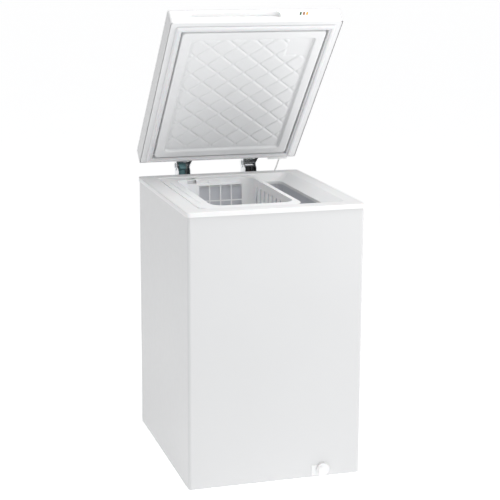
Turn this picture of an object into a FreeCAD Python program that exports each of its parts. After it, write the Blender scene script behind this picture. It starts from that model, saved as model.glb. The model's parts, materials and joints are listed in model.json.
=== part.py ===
import FreeCAD, Part
import math
import os

# A compact chest freezer, stored with its lid part open.
# Millimetres. X runs to the right, Y to the back, Z up. The floor is Z = 0.
# Everything is drawn about the middle of the cabinet and moved once, on export,
# so that the origin is the bottom centre of the whole object.

os.makedirs("parts", exist_ok=True)
V = FreeCAD.Vector

# ---------------------------------------------------------------- cabinet
cabinet_width = 527.0
cabinet_depth = 620.0
shell_height = 806.0
foot_height = 5.0
foot_radius = 16.0
foot_inset = 46.0
shell_sheet = 1.0
shell_corner = 9.0
wall_thickness = 76.0
floor_insulation = 62.0
base_lift = 3.0
side_gap = 0.2
fit = 0.3
plate_gap = 0.1
screw_hole = 2.2
screw_well = 2.6

# ---------------------------------------------------------------- top rim
rim_overhang = 4.0
rim_face = 14.0
rim_wall = 3.0
rim_slope_run = 35.0
rim_slope_drop = 22.0
rim_skirt = 9.0
rim_corner = 9.0
rim_edge_round = 3.0
throat_corner = 20.0

# ---------------------------------------------------------------- tank and coils
liner_sheet = 1.0
liner_flange = 12.0
liner_below_throat = 2.0
skirt_wall = 1.8
step_height = 240.0
step_depth = 190.0
coil_radius = 4.0
coil_bend = 18.0
coil_clearance = 0.4
link_half = 30.0
evaporator_rows = 8
evaporator_above_step = 60.0
evaporator_below_top = 42.0
condenser_rows = 6
condenser_above_room = 40.0
condenser_below_top = 106.0
condenser_rear_inset = 60.0

# ---------------------------------------------------------------- machine room
room_depth = 205.0
room_height = 250.0
tray_sheet = 2.0
tray_lip = 24.0
grille_side = 27.5
grille_low = 26.0
grille_high = 240.0
grille_sheet = 3.0
grille_frame = 12.0
louvre_pitch = 14.0
louvre_height = 6.0
compressor_x = 40.0
compressor_from_back = 98.0
compressor_radius = 64.0
compressor_height = 149.0
compressor_round = 26.0
mount_x = 78.0
mount_y = 50.0
grommet_height = 16.0
grommet_radius = 10.0
bolt_radius = 3.0
drier_from_compressor = 120.0
drier_radius = 9.0
drier_length = 90.0
drier_neck = 14.0
pipe_bend = 10.0
liquid_radius = 3.0
suction_radius = 4.0
capillary_radius = 1.6
relay_depth = 38.0
relay_half = 26.0
relay_height = 58.0
thermostat_side = 113.5
dial_z = 150.0
dial_radius = 19.0
dial_thickness = 8.0
shaft_radius = 3.0
inlet_side = 73.5
inlet_z = 60.0

# ---------------------------------------------------------------- lid
lid_side_inset = 1.5
lid_thickness = 51.0
lid_front_overhang = 14.0
lid_rear_overhang = 8.0
lid_gap = 8.0
lid_sheet = 1.5
lid_corner = 6.0
lid_edge_round = 3.5
lid_front_return = 7.0
lid_top_return = 5.0
seam = 2.2
strip_depth = 22.0
strip_foot = 5.0
frame_height = 10.0
gasket_width = 18.0
gasket_dart = 5.0
gasket_side_inset = 20.0
gasket_front_inset = 17.0
gasket_rear_inset = 6.0
liner_overlap = 6.0
liner_groove = 6.0
liner_border = 28.0
liner_drop = 5.0
field_recess = 8.0
lid_liner_sheet = 1.5
rest_angle = 47.0

# ---------------------------------------------------------------- grip and lamps
grip_side = 58.0
grip_to_panel = 27.0
grip_above = 11.0
grip_below_top = 10.0
grip_depth = 18.0
grip_lip = 4.0
grip_round_share = 0.41
panel_from_side = 162.0
panel_above = 3.0
panel_below_top = 5.5
panel_sheet = 3.0
panel_proud = 2.0
lamp_from_panel = 34.0
lamp_pitch = 10.0
lamp_size = 6.0
lamp_width_share = 0.46
lamp_lean = 2.4

# ---------------------------------------------------------------- hinges
hinge_share = 0.425
pivot_behind = 48.0
pivot_above = 22.0
pin_radius = 4.0
pin_clearance = 0.05
channel_half = 20.0
channel_sheet = 2.0
channel_wing = 22.0
channel_reach = 64.0
channel_drop = 125.0
arm_gap = 0.6
arm_flare = 4.5
arm_foot = 24.0
arm_nose = 12.0
arm_above_pivot = 24.0
arm_above_lid = 2.0
arm_lining = 1.2
cam_hub = 8.0
cam_throw = 10.0
cam_lobe = 6.0
cam_half = {"left": 11.0, "right": 14.0}
cam_groove = 2.0
plunger_behind = 47.0
plunger_radius = 11.0
plunger_wall = 2.5
plunger_gap = 1.0
plunger_length = 34.0
spring_wire = 2.5
spring_seat = 8.0

# ---------------------------------------------------------------- basket
basket_share = 0.72
basket_left_gap = 15.4
basket_flange = 12.0
basket_bead = 1.2
basket_bead_width = 3.0
basket_bead_from_wall = 20.0
basket_drop = 2.0
basket_height = 190.0
basket_wall = 2.5
basket_side_gap = 7.0
basket_taper = 9.0
basket_corner = 42.0
window_start = 78.0
window_end = 30.0
window_rows = 3
window_pitch = 36.0
window_bar = 3.5
window_height = 48.0
window_top = 22.0
hold_start = 41.0
hold_width = 30.0
hold_top = 3.0
hold_height = 11.0
slot_count = 9
slot_share = 0.44
slot_end = 12.0

# ---------------------------------------------------------------- drain
drain_side = 117.5
drain_z = 27.0
drain_radius = 20.0
spout_radius = 8.0
spout_wall = 2.0
spout_reach = 60.0
hose_wall = 2.0
hose_front = 34.0
drain_run = 110.0
drain_flange = 2.5
plug_radius = 13.0
bezel_sheet = 2.0
bezel_wing = 34.0
collar_sheet = 1.6
dial_sheet = 3.0
dial_grip = 4.0
stub_length = 18.0
drain_gap = 0.3

# ---------------------------------------------------------------- lid cable
cable_radius = 2.5
cover_side = 26.0
cover_arm_gap = 9.0
cover_depth = 14.0
cover_height = 16.7
cover_wall = 2.0
cable_from_cover_side = 22.0
cable_height = 8.5
cable_start_gap = 1.7
gland_from_hinge = 74.0
gland_drop = 45.0

# ---------------------------------------------------------------- worked out from the above
half_w = cabinet_width / 2
half_d = cabinet_depth / 2
shell_bottom = foot_height
shell_top = shell_bottom + shell_height
rim_top = shell_top + rim_face
base_z = shell_bottom + base_lift
inner_hx = half_w - shell_sheet - side_gap
inner_hy = half_d - shell_sheet - side_gap
tank_hx = half_w - wall_thickness
tank_hy = half_d - wall_thickness
throat_hx = tank_hx - skirt_wall - fit
throat_hy = tank_hy - skirt_wall - fit
mouth_hx = throat_hx + rim_slope_run
mouth_hy = throat_hy + rim_slope_run
throat_top = rim_top - rim_slope_drop
liner_top = throat_top - liner_below_throat
tank_floor = shell_bottom + floor_insulation
room_front = half_d - room_depth
room_top = shell_bottom + room_height
evaporator_low = tank_floor + step_height + evaporator_above_step
evaporator_pitch = (liner_top - evaporator_below_top - evaporator_low) / (evaporator_rows - 1)
condenser_low = room_top + condenser_above_room
condenser_pitch = (liner_top - condenser_below_top - condenser_low) / (condenser_rows - 1)
grille_hx = half_w - grille_side
compressor_y = half_d - compressor_from_back
mount_z = base_z + tray_sheet + grommet_height
dial_x = thermostat_side - half_w
inlet_x = half_w - inlet_side
grille_back = half_d + plate_gap
grille_face = grille_back + grille_sheet
lid_hx = half_w - lid_side_inset
lid_front = -half_d - lid_front_overhang
lid_rear = half_d + lid_rear_overhang
lid_bottom = rim_top + lid_gap
lid_top = lid_bottom + lid_thickness
frame_top = lid_bottom + frame_height
liner_flange_z = frame_top + plate_gap
strip_back = lid_front + strip_depth
strip_low = lid_bottom + side_gap
panel_left = lid_hx - panel_from_side
panel_right = lid_hx - lid_front_return - lid_sheet
panel_low = lid_bottom + panel_above
lamp_first = panel_left + lamp_from_panel
panel_height = lid_thickness - panel_above - panel_below_top
lamp_z = panel_low + panel_height * 0.6
grip_left = grip_side - lid_hx
grip_right = panel_left - grip_to_panel
grip_low = lid_bottom + grip_above
grip_height = lid_thickness - grip_above - grip_below_top
grip_round = grip_height * grip_round_share
hinge_xs = {"left": -hinge_share * cabinet_width / 2, "right": hinge_share * cabinet_width / 2}
pivot_y = half_d + pivot_behind
pivot_z = rim_top + pivot_above
channel_rear = half_d + channel_reach
channel_low = rim_top - channel_drop
arm_near = channel_half + arm_gap
arm_wide = arm_near + arm_flare
arm_wall = lid_rear + plate_gap
arm_high = pivot_z + arm_above_pivot
plunger_y = half_d + plunger_behind
spring_low = channel_low + spring_seat
basket_top = rim_top - basket_drop
basket_bottom = basket_top - basket_height
rest_inset = rim_slope_run * (basket_drop + basket_wall) / rim_slope_drop + fit
basket_x0 = rest_inset - mouth_hx
basket_rest_y = mouth_hy - rest_inset
basket_body_x0 = basket_left_gap - throat_hx
basket_x1 = basket_body_x0 + 2 * throat_hx * basket_share
basket_body_x1 = basket_x1 - basket_flange
basket_hy = throat_hy - basket_side_gap
window_columns = int((basket_body_x1 - basket_body_x0 - window_start - window_end) // window_pitch)
drain_x = half_w - drain_side
drain_y = drain_run - half_d
hose_radius = spout_radius + hose_wall
funnel_top = tank_floor + 0.05
bezel_back = -half_d - 0.05
bezel_face = bezel_back - bezel_sheet
collar_face = bezel_face - drain_gap - collar_sheet
dial_back = collar_face - drain_gap
dial_front = dial_back - dial_sheet
drain_front = dial_front - dial_grip
cover_x0 = hinge_xs["right"] + arm_wide + arm_foot + cover_arm_gap
cover_x1 = lid_hx - cover_side
cover_face = lid_rear + plate_gap + cover_depth
cable_exit_x = cover_x1 - cable_from_cover_side
cable_exit_z = lid_bottom + cable_height
cable_gland_x = hinge_xs["right"] + gland_from_hinge
cable_gland_z = rim_top - gland_drop
object_front = min(drain_front, -half_d - rim_overhang)
origin_y = (channel_rear + object_front) / 2

nodes = {}


# ---------------------------------------------------------------- helpers
def box(x0, x1, y0, y1, z0, z1):
    return Part.makeBox(x1 - x0, y1 - y0, z1 - z0, V(x0, y0, z0))


def rod(radius, start, end):
    run = V(*end) - V(*start)
    return Part.makeCylinder(radius, run.Length, V(*start), run)


def pipe(outer, inner, start, end):
    return rod(outer, start, end).cut(rod(inner, start, end))


def round_rectangle(x0, x1, y0, y1, z, radius):
    """A closed wire round a rectangle with rounded corners at height z."""
    corners = [(x1 - radius, y0 + radius, -90), (x1 - radius, y1 - radius, 0),
               (x0 + radius, y1 - radius, 90), (x0 + radius, y0 + radius, 180)]
    arcs = []
    for x, y, start in corners:
        circle = Part.Circle(V(x, y, z), V(0, 0, 1), radius)
        first = math.radians(start)
        arcs.append(Part.Arc(circle, first, first + math.pi / 2).toShape())
    edges = []
    for here, after in zip(arcs, arcs[1:] + arcs[:1]):
        edges.append(here)
        edges.append(Part.LineSegment(here.Vertexes[-1].Point, after.Vertexes[0].Point).toShape())
    return Part.Wire(edges)


def block(hx, y0, y1, z0, z1, radius):
    """A block centred on X with rounded upright edges."""
    return Part.Face(round_rectangle(-hx, hx, y0, y1, z0, radius)).extrude(V(0, 0, z1 - z0))


def funnel(hx_low, hy_low, z_low, hx_high, hy_high, z_high, radius):
    low = round_rectangle(-hx_low, hx_low, -hy_low, hy_low, z_low, radius)
    high = round_rectangle(-hx_high, hx_high, -hy_high, hy_high, z_high, radius)
    return Part.makeLoft([low, high], True, True)


def outline(points, extrusion):
    """A flat outline of 3D points, extruded."""
    closed = [V(*p) for p in points + points[:1]]
    return Part.Face(Part.makePolygon(closed)).extrude(V(*extrusion))


def bent_path(points, bend=None):
    """Straight runs joined by tangent arcs. Without a bend radius each arc is as
    large as its two runs allow. Returns the wire and the radii."""
    pts = [V(*p) for p in points]
    edges, radii = [], []
    start = pts[0]
    for before, corner, after in zip(pts, pts[1:], pts[2:]):
        into = (corner - before).normalize()
        out = (after - corner).normalize()
        half_turn = into.getAngle(out) / 2
        shorter = min((corner - before).Length, (after - corner).Length)
        radius = bend or 0.45 * shorter / math.tan(half_turn)
        cut = radius * math.tan(half_turn)
        begin = corner - into * cut
        end = corner + out * cut
        inward = (out - into).normalize()
        middle = corner + inward * (radius / math.cos(half_turn) - radius)
        edges.append(Part.LineSegment(start, begin).toShape())
        edges.append(Part.Arc(begin, middle, end).toShape())
        radii.append(radius)
        start = end
    edges.append(Part.LineSegment(start, pts[-1]).toShape())
    return Part.Wire(edges), radii


def tube(points, radius, bend=None):
    """A solid rod swept along a bent path."""
    path, _ = bent_path(points, bend)
    along = V(*points[1]) - V(*points[0])
    ring = Part.Wire([Part.Circle(V(*points[0]), along, radius).toShape()])
    return path.makePipeShell([ring], True, True)


def screw(x, y, z, length=9.0, head=4.0, cap_height=2.4, shank=2.0, recess=1.0):
    """A cross-recessed pan head at (x, y, z) that faces +Y, with its shank running to -Y."""
    cap = rod(head, (x, y, z), (x, y + cap_height, z))
    stem = rod(shank, (x, y - length, z), (x, y, z))
    arm = head * 0.55
    face = y + cap_height
    cross = box(x - arm, x + arm, face - recess, face + 1, z - 0.5, z + 0.5)
    cross = cross.fuse(box(x - 0.5, x + 0.5, face - recess, face + 1, z - arm, z + arm))
    return cap.cut(cross).fuse(stem)


def round_off(shape, radius, wanted):
    """Fillets the edges that wanted(edge) picks."""
    edges = [e for e in shape.Edges if wanted(e)]
    return shape.makeFillet(radius, edges)


def open_lid(shape):
    """Turns a lid piece from closed to the stored, part open, position."""
    turned = shape.copy()
    turned.rotate(V(0, pivot_y, pivot_z), V(1, 0, 0), -rest_angle)
    return turned


# ---------------------------------------------------------------- cabinet pieces
def make_outer_shell():
    """Front and both sides bent from one sheet, open behind and below."""
    sheet_top = shell_top + rim_face - rim_wall - 1
    outside = block(half_w, -half_d, half_d + shell_corner, shell_bottom, sheet_top, shell_corner)
    inside = block(half_w - shell_sheet, -half_d + shell_sheet, half_d + 2 * shell_corner,
                   shell_bottom, sheet_top, shell_corner - shell_sheet)
    rear = box(-half_w - 1, half_w + 1, half_d - shell_sheet, half_d + 3 * shell_corner,
               shell_bottom, sheet_top)
    rear_notch = box(-half_w - 1, half_w + 1, half_d - rim_corner, half_d + 1, shell_top - 0.5, sheet_top + 1)
    drain_hole = rod(hose_radius + 1, (drain_x, -half_d - 1, drain_z), (drain_x, -half_d + 5, drain_z))
    return outside.cut(inside).cut(rear).cut(rear_notch).cut(drain_hole)


def back_holes(radius, depth):
    """Holes for every screw that goes into the cabinet's back."""
    places = grille_screw_places() + channel_screw_places()
    return Part.Compound([rod(radius, (x, half_d - depth, z), (x, half_d + 5, z)) for x, z in places])


def make_back_panel():
    sheet_top = shell_top + rim_face - rim_wall - 1
    panel = box(-half_w, half_w, half_d - shell_sheet + 0.05, half_d, shell_bottom, sheet_top)
    opening = box(-grille_hx + grille_frame, grille_hx - grille_frame, half_d - 5, half_d + 5,
                  grille_low + grille_frame, grille_high - grille_frame)
    gland_hole = rod(cable_radius + 3.05, (cable_gland_x, half_d - 5, cable_gland_z),
                     (cable_gland_x, half_d + 5, cable_gland_z))
    notches = []
    for side in (-1, 1):
        low, high = sorted((side * (half_w - rim_corner), side * (half_w + 1)))
        notches.append(box(low, high, half_d - 5, half_d + 5, shell_top - 0.5, sheet_top + 1))
    return panel.cut(opening).cut(gland_hole).cut(back_holes(screw_hole, 5)).cut(Part.Compound(notches))


def make_bottom_plate():
    return block(inner_hx, -inner_hy, room_front - fit, base_z, base_z + shell_sheet,
                 shell_corner - shell_sheet)


def foot_places():
    x, y = half_w - foot_inset, half_d - foot_inset
    return [(-x, -y), (-x, y), (x, -y), (x, y)]


def make_feet():
    """Four moulded pads pushed into the base."""
    return Part.Compound([rod(foot_radius, (x, y, 0), (x, y, base_z)) for x, y in foot_places()])


def make_compressor_tray():
    """The steel cross member that carries the compressor."""
    plate = box(-inner_hx, inner_hx, room_front, inner_hy, base_z, base_z + tray_sheet)
    lip = box(-inner_hx, inner_hx, room_front, room_front + tray_sheet, base_z, base_z + tray_lip)
    holes = [rod(bolt_radius + 0.2, (x, y, base_z - 1), (x, y, base_z + 9)) for x, y in grommet_places()]
    return plate.fuse(lip).cut(Part.Compound(holes))


def make_room_panel():
    """Bent sheet between the foam and the machine room."""
    y0 = room_front + tray_sheet + fit
    z0 = base_z + tray_sheet + fit
    wall = box(-inner_hx, inner_hx, y0, y0 + shell_sheet, z0, room_top)
    roof = box(-inner_hx, inner_hx, y0, inner_hy, room_top, room_top + shell_sheet)
    return wall.fuse(roof)


def tank_block(grow, top):
    """The tank's space, grown outwards by grow, up to top."""
    deep = block(tank_hx + grow, -tank_hy - grow, tank_hy + grow, tank_floor - grow, top,
                 throat_corner + grow)
    step = box(-tank_hx - 60, tank_hx + 60, tank_hy - step_depth + grow, tank_hy + 60,
               tank_floor - 60, tank_floor + step_height - grow)
    return deep.cut(step)


def drain_channel(radius, start_y):
    """The drain's way: down from the tank floor, then out to the front."""
    down = rod(radius, (drain_x, drain_y, tank_floor + 1), (drain_x, drain_y, drain_z))
    elbow = Part.makeSphere(radius, V(drain_x, drain_y, drain_z))
    along = rod(radius, (drain_x, drain_y, drain_z), (drain_x, start_y, drain_z))
    return down.fuse(elbow).fuse(along)


def make_whole_liner():
    """The tank's sheet, walls and base together."""
    outside = tank_block(liner_sheet, liner_top)
    inside = tank_block(0, liner_top + 1)
    flange = block(tank_hx + liner_flange, -tank_hy - liner_flange, tank_hy + liner_flange,
                   liner_top - liner_sheet, liner_top, throat_corner + liner_flange)
    drain_hole = rod(hose_radius + 0.2, (drain_x, drain_y, tank_floor - 3), (drain_x, drain_y,
                                                                             tank_floor + 3))
    return outside.fuse(flange).cut(inside).cut(drain_hole)


def base_block(gap):
    """The space of the tank's stepped base, between its walls."""
    return block(tank_hx - gap, gap - tank_hy, tank_hy - gap, tank_floor - 2 * liner_sheet,
                 tank_floor + step_height + gap, throat_corner - gap)


def make_inner_liner():
    """Walls of the tank with the flange under the rim."""
    return make_whole_liner().cut(base_block(0))


def make_tank_base():
    """Stepped pan seamed into the foot of the walls."""
    return make_whole_liner().common(base_block(0.05))


def make_top_rim():
    """Plastic collar: a flat top, an outer lip over the shell, a slope into the tank."""
    out_x = half_w + rim_overhang
    out_y = half_d + rim_overhang
    cap = block(out_x, -out_y, out_y, shell_top, rim_top, rim_corner + rim_overhang)
    cap = round_off(cap, rim_edge_round, lambda e: e.BoundBox.ZMin > rim_top - 0.01)
    under = block(out_x - rim_wall - 0.7, -out_y + rim_wall + 0.7, out_y - rim_wall - 0.7,
                  shell_top - 1, rim_top - rim_wall, rim_corner)
    slope_out = funnel(throat_hx + skirt_wall, throat_hy + skirt_wall, throat_top,
                       mouth_hx + rim_wall + 1, mouth_hy + rim_wall + 1, rim_top - 0.5, throat_corner)
    skirt_out = block(throat_hx + skirt_wall, -throat_hy - skirt_wall, throat_hy + skirt_wall,
                      throat_top - rim_skirt, throat_top, throat_corner)
    slope_in = funnel(throat_hx, throat_hy, throat_top, mouth_hx, mouth_hy, rim_top, throat_corner)
    above = block(mouth_hx, -mouth_hy, mouth_hy, rim_top - 0.001, rim_top + 5, throat_corner)
    below = block(throat_hx, -throat_hy, throat_hy, throat_top - rim_skirt - 1, throat_top + 0.001,
                  throat_corner)
    collar = cap.cut(under).fuse(slope_out).fuse(skirt_out)
    collar = collar.cut(slope_in).cut(above).cut(below)
    return collar.removeSplitter()


def wrap_rows(hx, hy, gap, z_low, pitch, rows):
    """A tube's points: round three or four sides, up a step, and back again."""
    if gap:
        level = [(-gap, hy), (-hx, hy), (-hx, -hy), (hx, -hy), (hx, hy), (gap, hy)]
    else:
        level = [(-hx, hy), (-hx, -hy), (hx, -hy), (hx, hy)]
    points = []
    for row in range(rows):
        order = level if row % 2 == 0 else level[::-1]
        points += [(x, y, z_low + row * pitch) for x, y in order]
    return points


def wrap_groove(hx, hy, z, reach):
    """The ring-shaped channel that one turn of a coil lies in."""
    outside = block(hx + reach, -hy - reach, hy + reach, z - reach, z + reach, coil_bend + reach)
    return outside.cut(block(hx - reach, reach - hy, hy - reach, z - reach - 1, z + reach + 1,
                             coil_bend - reach))


def evaporator_line():
    """Half sizes of the tube that is wound on the tank."""
    gap = liner_sheet + coil_radius + side_gap
    return tank_hx + gap, tank_hy + gap


def condenser_line():
    """Half size, front and rear of the tube behind the outer shell."""
    gap = shell_sheet + coil_radius + coil_clearance
    return half_w - gap, half_d - gap, half_d - condenser_rear_inset


def make_evaporator():
    hx, hy = evaporator_line()
    points = wrap_rows(hx, hy, link_half, evaporator_low, evaporator_pitch, evaporator_rows)
    return tube(points, coil_radius, coil_bend)


def make_condenser():
    hx, front, rear = condenser_line()
    points = wrap_rows(hx, 1, 0, condenser_low, condenser_pitch, condenser_rows)
    points = [(x, -front if y < 0 else rear, z) for x, y, z in points]
    return tube(points, coil_radius, coil_bend)


def make_foam():
    """Foam between the shell and the tank, with channels for what runs in it."""
    body = block(inner_hx, -inner_hy, inner_hy, base_z + shell_sheet + side_gap,
                 liner_top - liner_sheet - fit,
                 shell_corner - shell_sheet)
    room = box(-half_w, half_w, room_front - side_gap, half_d + 1, shell_bottom,
               room_top + shell_sheet + side_gap)
    body = body.cut(room).cut(tank_block(liner_sheet + side_gap, liner_top + 1))
    hx, hy = evaporator_line()
    reach = coil_radius + coil_clearance
    grooves = []
    for row in range(evaporator_rows):
        grooves.append(wrap_groove(hx, hy, evaporator_low + row * evaporator_pitch, reach))
    top = evaporator_low + (evaporator_rows - 1) * evaporator_pitch
    link = link_half + coil_bend + reach
    grooves.append(box(-link, link, hy - reach, hy + reach, evaporator_low - reach, top + reach))
    hx, front, rear = condenser_line()
    for row in range(condenser_rows):
        turn = wrap_groove(hx, front, condenser_low + row * condenser_pitch, reach)
        grooves.append(turn.cut(box(-half_w, half_w, rear + reach, half_d, 0, lid_top)))
    top = condenser_low + (condenser_rows - 1) * condenser_pitch
    for side in (-1, 1):
        low, high = sorted((side * (hx - reach), side * (hx + reach)))
        grooves.append(box(low, high, rear - coil_bend - reach, rear + reach, condenser_low - reach,
                           top + reach))
    for groove in grooves:
        body = body.cut(groove)
    body = body.cut(drain_channel(hose_radius + fit, -half_d - 1))
    gland_well = rod(9.0, (cable_gland_x, half_d - 20, cable_gland_z), (cable_gland_x, half_d, cable_gland_z))
    return body.cut(gland_well).cut(back_holes(screw_well, 14)).removeSplitter()


# ---------------------------------------------------------------- machine room
def grommet_places():
    return [(compressor_x + sx * mount_x, compressor_y + sy * mount_y) for sx in (-1, 1) for sy in (-1, 1)]


def make_compressor():
    """Hermetic shell of two pressings on a pressed base plate."""
    sheet = 3.0
    overlap = 2.0
    middle = mount_z + compressor_height / 2 + sheet
    top = mount_z + compressor_height + sheet
    plate = box(compressor_x - mount_x - 16, compressor_x + mount_x + 16, compressor_y - mount_y - 14,
                compressor_y + mount_y + 14, mount_z, mount_z + sheet)
    holes = [rod(bolt_radius + overlap, (x, y, mount_z - 1), (x, y, mount_z + 9)) for x,
             y in grommet_places()]
    lower = rod(compressor_radius - overlap, (compressor_x, compressor_y, mount_z + sheet),
                (compressor_x, compressor_y, middle))
    upper = rod(compressor_radius, (compressor_x, compressor_y, middle), (compressor_x, compressor_y, top))
    upper = round_off(upper, compressor_round, lambda e: e.BoundBox.ZMin > top - 1)
    return plate.cut(Part.Compound(holes)).fuse(lower.fuse(upper)).removeSplitter()


def make_grommets():
    """Rubber feet between the compressor's plate and the tray."""
    low, high = mount_z - grommet_height + plate_gap, mount_z - plate_gap
    bore = bolt_radius + coil_clearance
    return Part.Compound([pipe(grommet_radius, bore, (x, y, low), (x, y, high)) for x, y in grommet_places()])


def make_compressor_bolts():
    """Each bolt comes up through the tray and grommet and ends in a nut and washer."""
    z = base_z
    washer_z = mount_z + 4
    nut_radius = 5.6
    bolts = []
    for x, y in grommet_places():
        stem = rod(bolt_radius, (x, y, z - 2), (x, y, washer_z + 12))
        head = rod(nut_radius, (x, y, z - 2), (x, y, z - plate_gap))
        washer = rod(8.0, (x, y, washer_z), (x, y, washer_z + 1.5))
        corners = [math.radians(60 * i) for i in range(7)]
        nut = Part.makePolygon([V(x + nut_radius * math.cos(a), y + nut_radius * math.sin(a), washer_z + 1.5)
                                for a in corners])
        bolts.append(stem.fuse(head).fuse(washer).fuse(Part.Face(nut).extrude(V(0, 0, 5))))
    return Part.Compound(bolts)


def make_start_relay():
    x = compressor_x - compressor_radius - 0.5
    z = mount_z + 44
    case = box(x - relay_depth, x, compressor_y - relay_half, compressor_y + relay_half, z, z + relay_height)
    hollow = rod(compressor_radius + coil_clearance, (compressor_x, compressor_y, z - 1),
                 (compressor_x, compressor_y, z + relay_height + 1))
    return round_off(case.cut(hollow), 3.0, lambda e: e.BoundBox.XMax < x - relay_depth + 0.1)


def drier_place():
    """X, Y and lower end of the filter drier's can."""
    return compressor_x + drier_from_compressor, compressor_y + 10, shell_bottom + 110


def make_filter_drier():
    x, y, z = drier_place()
    can = rod(drier_radius, (x, y, z), (x, y, z + drier_length))
    tip = liquid_radius + coil_clearance
    low = Part.makeCone(tip, drier_radius, drier_neck, V(x, y, z - drier_neck))
    high = Part.makeCone(drier_radius, tip, drier_neck, V(x, y, z + drier_length))
    return can.fuse(low).fuse(high)


def make_pipes():
    """Discharge, suction and liquid lines, from the machine to the foam."""
    wall = room_front + tray_sheet + fit + shell_sheet + 0.5
    leave = mount_z + 60
    drier_x, drier_y, drier_z = drier_place()
    drier_top = drier_z + drier_length + drier_neck
    drier_low = drier_z - drier_neck
    left = compressor_x - 50
    right = compressor_x + compressor_radius + coil_clearance
    out_x = right + 26
    out_y = compressor_y + 20
    in_y = compressor_y - 72
    discharge = tube([(right, out_y, leave), (out_x, out_y, leave), (out_x, out_y, leave + 110),
                      (out_x, wall, leave + 110)], liquid_radius, pipe_bend)
    suction = tube([(left, compressor_y - 42.5, leave), (left, in_y, leave), (left, in_y, leave + 130),
                    (left, wall, leave + 130)], suction_radius, pipe_bend)
    liquid = tube([(drier_x, drier_y, drier_top + plate_gap), (drier_x, drier_y, drier_top + 20),
                   (drier_x, wall, drier_top + 20)], liquid_radius, pipe_bend)
    capillary = tube([(drier_x, drier_y, drier_low - plate_gap), (drier_x, drier_y, drier_low - 30),
                      (drier_x, wall, drier_low - 30)], capillary_radius, pipe_bend)
    return Part.Compound([discharge, suction, liquid, capillary])


def grille_screw_places():
    return [(x, z) for x in (-grille_hx + 6, 0, grille_hx - 6) for z in (grille_low + 6, grille_high - 6)]


def make_rear_grille():
    """Louvred plastic cover over the machine room."""
    panel = box(-grille_hx, grille_hx, grille_back, grille_face, grille_low, grille_high)
    panel = round_off(panel, 2.0, lambda e: e.BoundBox.YMin > grille_face - 0.01)
    front, rear = grille_back - 1, grille_face + 1
    cuts = []
    rows = int((grille_high - grille_low - 70) // louvre_pitch)
    for row in range(rows):
        z = grille_low + 35 + row * louvre_pitch
        spans = [(dial_x + 50, -10), (10, 100)]
        if z > inlet_z + 24:
            spans.append((120, grille_hx - 22))
        cuts += [box(x0, x1, front, rear, z, z + louvre_height) for x0, x1 in spans]
    cuts += [rod(screw_hole, (x, front, z), (x, rear, z)) for x, z in grille_screw_places()]
    cuts.append(rod(5.0, (dial_x, front, dial_z), (dial_x, rear, dial_z)))
    cuts.append(rod(8.1, (inlet_x, front, inlet_z), (inlet_x, rear, inlet_z)))
    return panel.cut(Part.Compound(cuts))


def make_grille_screws():
    return Part.Compound([screw(x, grille_face + 0.05, z) for x, z in grille_screw_places()])


def make_thermostat():
    """The switch body behind the grille, with the bushing that its shaft turns in."""
    y = half_d - 4
    case = box(dial_x - 22, dial_x + 22, y - 30, y, dial_z - 16, dial_z + 16)
    case = round_off(case, 3.0, lambda e: e.BoundBox.YMax < y - 29.9)
    bush = rod(4.7, (dial_x, y, dial_z), (dial_x, half_d + grille_sheet, dial_z))
    bore = rod(shaft_radius + pin_clearance, (dial_x, y - 12, dial_z), (dial_x, half_d + 10, dial_z))
    return case.fuse(bush).cut(bore)


def make_thermostat_dial():
    """Round knob with a raised bar, on a shaft that turns in the thermostat."""
    y = grille_face + coil_clearance
    face = y + dial_thickness
    disc = rod(dial_radius, (dial_x, y, dial_z), (dial_x, face, dial_z))
    disc = round_off(disc, 1.5, lambda e: e.BoundBox.YMin > face - 0.1)
    bar = box(dial_x - 3.5, dial_x + 3.5, face - 1, face + 7, dial_z - dial_radius + 2,
              dial_z + dial_radius - 2)
    bar = round_off(bar, 1.5, lambda e: e.BoundBox.YMin > face + 6.9)
    shaft = rod(shaft_radius, (dial_x, half_d - 12, dial_z), (dial_x, y + 1, dial_z))
    return disc.fuse(bar).fuse(shaft).removeSplitter()


def make_mains_gland():
    """Bush that the supply lead passes through, blank here."""
    seat = grille_face + 0.05
    rim = grille_face + 4
    collar = rod(12, (inlet_x, seat, inlet_z), (inlet_x, rim, inlet_z))
    nose = Part.makeCone(9, 6.5, 14, V(inlet_x, rim, inlet_z), V(0, 1, 0))
    neck = rod(8.0, (inlet_x, half_d - 6, inlet_z), (inlet_x, seat, inlet_z))
    bore = rod(3.6, (inlet_x, half_d - 7, inlet_z), (inlet_x, rim + 16, inlet_z))
    return collar.fuse(nose).fuse(neck).cut(bore)


# ---------------------------------------------------------------- drain
def make_tank_drain():
    """Moulded funnel in the tank floor with a seat for the plug."""
    flange = rod(drain_radius, (drain_x, drain_y, funnel_top), (drain_x, drain_y, funnel_top + drain_flange))
    neck = rod(hose_radius - 0.1, (drain_x, drain_y, tank_floor - 12), (drain_x, drain_y, funnel_top))
    bore = rod(spout_radius - 1.0, (drain_x, drain_y, tank_floor - 13), (drain_x, drain_y, funnel_top + 9))
    return flange.fuse(neck).cut(bore)


def make_drain_plug():
    """Tapered stopper with a flat finger tab."""
    top = funnel_top + drain_flange + plate_gap
    head = rod(plug_radius, (drain_x, drain_y, top), (drain_x, drain_y, top + 3))
    stem = rod(spout_radius - 1.0 - pin_clearance, (drain_x, drain_y, top - 11), (drain_x, drain_y, top))
    tab = box(drain_x - 9, drain_x + 9, drain_y - 1.5, drain_y + 1.5, top + 2, top + 15)
    tab = round_off(tab, 1.0, lambda e: e.BoundBox.ZMin > top + 14.9)
    return head.fuse(stem).fuse(tab)


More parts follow.
